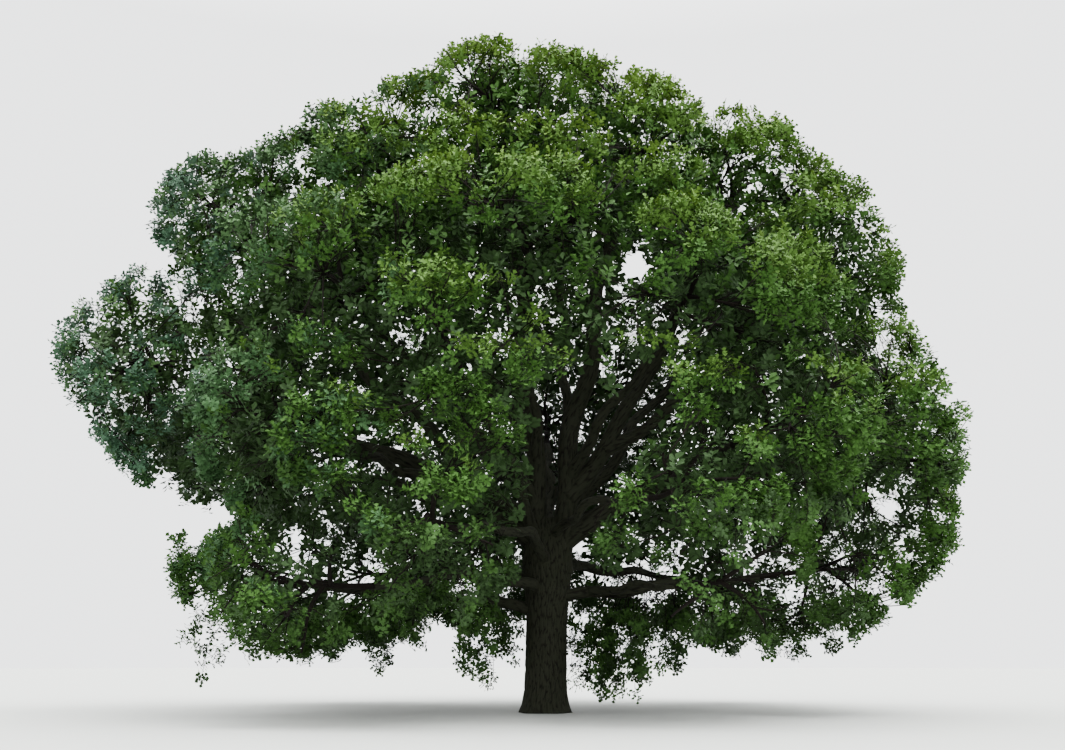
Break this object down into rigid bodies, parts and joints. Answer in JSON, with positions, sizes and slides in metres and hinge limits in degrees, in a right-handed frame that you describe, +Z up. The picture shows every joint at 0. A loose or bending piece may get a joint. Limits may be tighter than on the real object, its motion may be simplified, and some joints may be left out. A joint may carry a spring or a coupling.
{
  "type": "open-grown oak tree in full leaf",
  "caption": "Whole open-grown oak in full summer leaf: a short thick trunk, spreading boughs and a broad domed crown of separate foliage masses.",
  "frame": {"origin": "centre of the trunk's flat cut at ground level", "axes": "+Z straight up out of the level ground, +X to the right of the picture, -Y towards the viewer"},
  "size_m": [30.6897, 26.3855, 22.215],
  "materials": {
    "bark": "rough ridged bark",
    "leaves": "soft satin green leaf"
  },
  "bodies": {
    "root": {"trunk": "bark", "left_stem": "bark", "middle_stem": "bark", "right_stem": "bark", "top_left_bough": "bark", "left_upper_bough": "bark", "far_left_bough": "bark", "left_low_bough": "bark", "right_upper_bough": "bark", "far_right_bough": "bark", "right_low_bough": "bark", "front_upper_left_bough": "bark", "front_mid_left_bough": "bark", "front_left_bough": "bark", "front_low_left_bough": "bark", "front_centre_left_bough": "bark", "front_top_bough": "bark", "front_upper_right_bough": "bark", "front_right_bough": "bark", "front_mid_right_bough": "bark", "front_low_right_bough": "bark", "back_top_bough": "bark", "back_upper_left_bough": "bark", "back_upper_right_bough": "bark", "back_left_bough": "bark", "back_right_bough": "bark", "back_mid_bough": "bark", "back_low_left_bough": "bark", "back_low_right_bough": "bark", "back_low_bough": "bark", "top_leaves": "leaves", "top_right_leaves": "leaves", "right_top_leaves": "leaves", "top_left_leaves": "leaves", "left_upper_leaves": "leaves", "far_left_leaves": "leaves", "left_low_leaves": "leaves", "right_upper_leaves": "leaves", "far_right_leaves": "leaves", "right_low_leaves": "leaves", "front_upper_left_leaves": "leaves", "front_mid_left_leaves": "leaves", "front_left_leaves": "leaves", "front_low_left_leaves": "leaves", "front_centre_left_leaves": "leaves", "front_top_leaves": "leaves", "front_upper_right_leaves": "leaves", "front_right_leaves": "leaves", "front_mid_right_leaves": "leaves", "front_low_right_leaves": "leaves", "back_top_leaves": "leaves", "back_upper_left_leaves": "leaves", "back_upper_right_leaves": "leaves", "back_left_leaves": "leaves", "back_right_leaves": "leaves", "back_mid_leaves": "leaves", "back_low_left_leaves": "leaves", "back_low_right_leaves": "leaves", "back_low_leaves": "leaves"}
  },
  "joints": []
}
